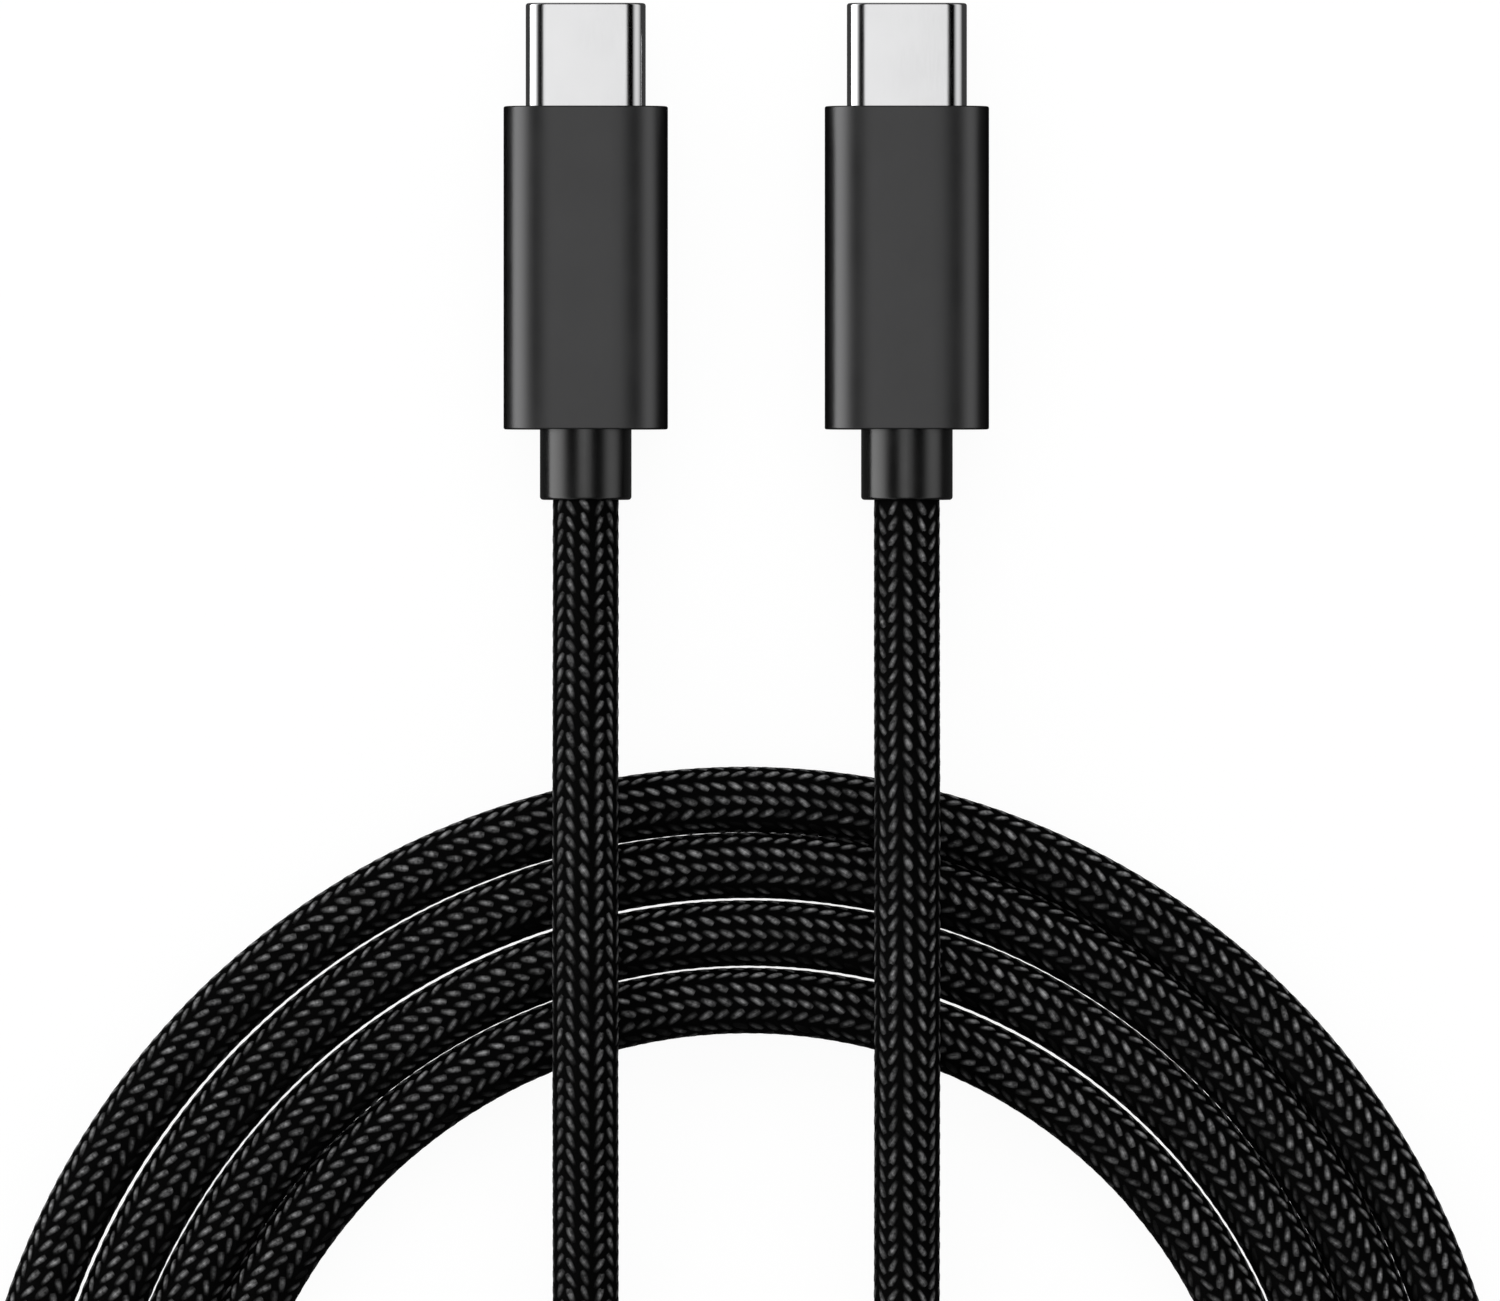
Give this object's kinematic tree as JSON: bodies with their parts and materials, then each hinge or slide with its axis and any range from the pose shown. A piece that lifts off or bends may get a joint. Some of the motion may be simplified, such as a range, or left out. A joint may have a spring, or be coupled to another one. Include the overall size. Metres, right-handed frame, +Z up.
{
  "type": "charging cable",
  "caption": "Black braided charging cable with the same flat reversible plug on both ends, laid in a flat coil with both plugs side by side.",
  "frame": {"origin": "on the surface that the cable lies on, midway between the two plugs, and midway between the front ends of their shells and the rear ends of their strain reliefs", "axes": "+Z up, +Y the way both plugs point, +X from the left plug to the right one"},
  "size_m": [0.1059, 0.1595, 0.0086],
  "materials": {
    "anodised_housing": "matt dark-grey anodised",
    "moulded_relief": "satin moulded elastomer",
    "bright_steel": "bright nickel-plated drawn steel",
    "inner_mould": "matt moulded",
    "insulator": "satin moulded",
    "gold_contacts": "gold-plated copper alloy in a black carrier",
    "spring_steel": "bright rolled spring steel",
    "board": "green solder mask",
    "chip": "matt black",
    "tinned_can": "tinned steel sheet",
    "braided_cord": "black woven braid with a faint sheen",
    "supply_wire": "red insulation",
    "ground_wire": "black insulation",
    "configuration_wire": "blue insulation",
    "data_plus_wire": "green insulation",
    "data_minus_wire": "white insulation"
  },
  "bodies": {
    "cable": {"cord_coil": "braided_cord", "cord_lead_left": "braided_cord", "cord_lead_right": "braided_cord", "left_marker_chip": "chip", "left_housing": "anodised_housing", "left_strain_relief": "moulded_relief", "left_plug_shell": "bright_steel", "left_inner_mould": "inner_mould", "left_front_insulator": "insulator", "left_top_contacts": "gold_contacts", "left_bottom_contacts": "gold_contacts", "left_mid_plate": "spring_steel", "left_top_ground_spring": "spring_steel", "left_bottom_ground_spring": "spring_steel", "left_paddle_board": "board", "left_top_shield": "tinned_can", "left_bottom_shield": "tinned_can", "left_crimp_ferrule": "tinned_can", "left_cord_end": "braided_cord", "left_supply_wire": "supply_wire", "left_ground_wire": "ground_wire", "left_configuration_wire": "configuration_wire", "left_data_plus_wire": "data_plus_wire", "left_data_minus_wire": "data_minus_wire", "right_housing": "anodised_housing", "right_strain_relief": "moulded_relief", "right_plug_shell": "bright_steel", "right_inner_mould": "inner_mould", "right_front_insulator": "insulator", "right_top_contacts": "gold_contacts", "right_bottom_contacts": "gold_contacts", "right_mid_plate": "spring_steel", "right_top_ground_spring": "spring_steel", "right_bottom_ground_spring": "spring_steel", "right_paddle_board": "board", "right_top_shield": "tinned_can", "right_bottom_shield": "tinned_can", "right_crimp_ferrule": "tinned_can", "right_cord_end": "braided_cord", "right_supply_wire": "supply_wire", "right_ground_wire": "ground_wire", "right_configuration_wire": "configuration_wire", "right_data_plus_wire": "data_plus_wire", "right_data_minus_wire": "data_minus_wire"},
    "left_outer_latch": {"left_outer_latch": "spring_steel"},
    "left_inner_latch": {"left_inner_latch": "spring_steel"},
    "right_outer_latch": {"right_outer_latch": "spring_steel"},
    "right_inner_latch": {"right_inner_latch": "spring_steel"}
  },
  "joints": [
    {"name": "left_outer_latch_flexure", "type": "hinge", "parent": "cable", "child": "left_outer_latch", "pos_m": [-0.01461, 0.00918, 0.0031], "axis": [0, 0, 1], "range_deg": [0, 1.3], "stiffness_Nm_per_rad": 0.45},
    {"name": "left_inner_latch_flexure", "type": "hinge", "parent": "cable", "child": "left_inner_latch", "pos_m": [-0.00747, 0.00918, 0.0031], "axis": [0, 0, -1], "range_deg": [0, 1.3], "stiffness_Nm_per_rad": 0.45},
    {"name": "right_inner_latch_flexure", "type": "hinge", "parent": "cable", "child": "right_inner_latch", "pos_m": [0.00747, 0.00918, 0.0031], "axis": [0, 0, 1], "range_deg": [0, 1.3], "stiffness_Nm_per_rad": 0.45},
    {"name": "right_outer_latch_flexure", "type": "hinge", "parent": "cable", "child": "right_outer_latch", "pos_m": [0.01461, 0.00918, 0.0031], "axis": [0, 0, -1], "range_deg": [0, 1.3], "stiffness_Nm_per_rad": 0.45}
  ]
}
